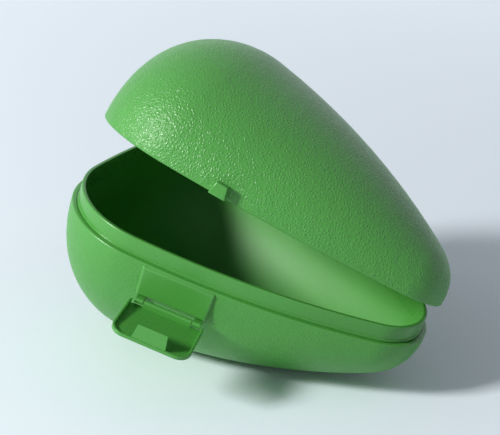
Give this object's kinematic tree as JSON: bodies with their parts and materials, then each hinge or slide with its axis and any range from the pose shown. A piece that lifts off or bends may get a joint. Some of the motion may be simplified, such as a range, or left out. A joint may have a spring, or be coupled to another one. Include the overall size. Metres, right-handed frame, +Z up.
{
  "type": "avocado keeper",
  "caption": "Hinged moulded plastic keeper in the shape of an avocado, two bowls with a hooked flap latch that closes over a lug on the lid.",
  "frame": {"origin": "middle of the small flat under the base, on which the keeper balances when it stands on a table", "axes": "+Z straight up from the table; +X level, towards the narrow end, which leans down by 15.8 degrees; -Y towards the latch and +Y towards the lid hinge"},
  "size_m": [0.141, 0.1275, 0.1137],
  "materials": {
    "base_plastic": "fine moulded grain",
    "lid_plastic": "moulded avocado-skin grain",
    "latch_plastic": "smooth, satin",
    "pin_plastic": "smooth, satin"
  },
  "bodies": {
    "base": {"base_shell": "base_plastic", "latch_pin": "pin_plastic", "lid_hinge_pin": "pin_plastic"},
    "lid": {"lid_shell": "lid_plastic"},
    "latch": {"latch_flap": "latch_plastic"}
  },
  "joints": [
    {"name": "lid_hinge", "type": "hinge", "parent": "base", "child": "lid", "pos_m": [-0.01056, 0.05225, 0.0476], "axis": [-0.9503, 0.1571, 0.2689], "range_deg": [-19.7, 95.3]},
    {"name": "latch_hinge", "type": "hinge", "parent": "base", "child": "latch", "pos_m": [0.00014, -0.04702, 0.03069], "axis": [-0.9343, -0.2391, 0.2644], "range_deg": [-50, 81.4]}
  ]
}
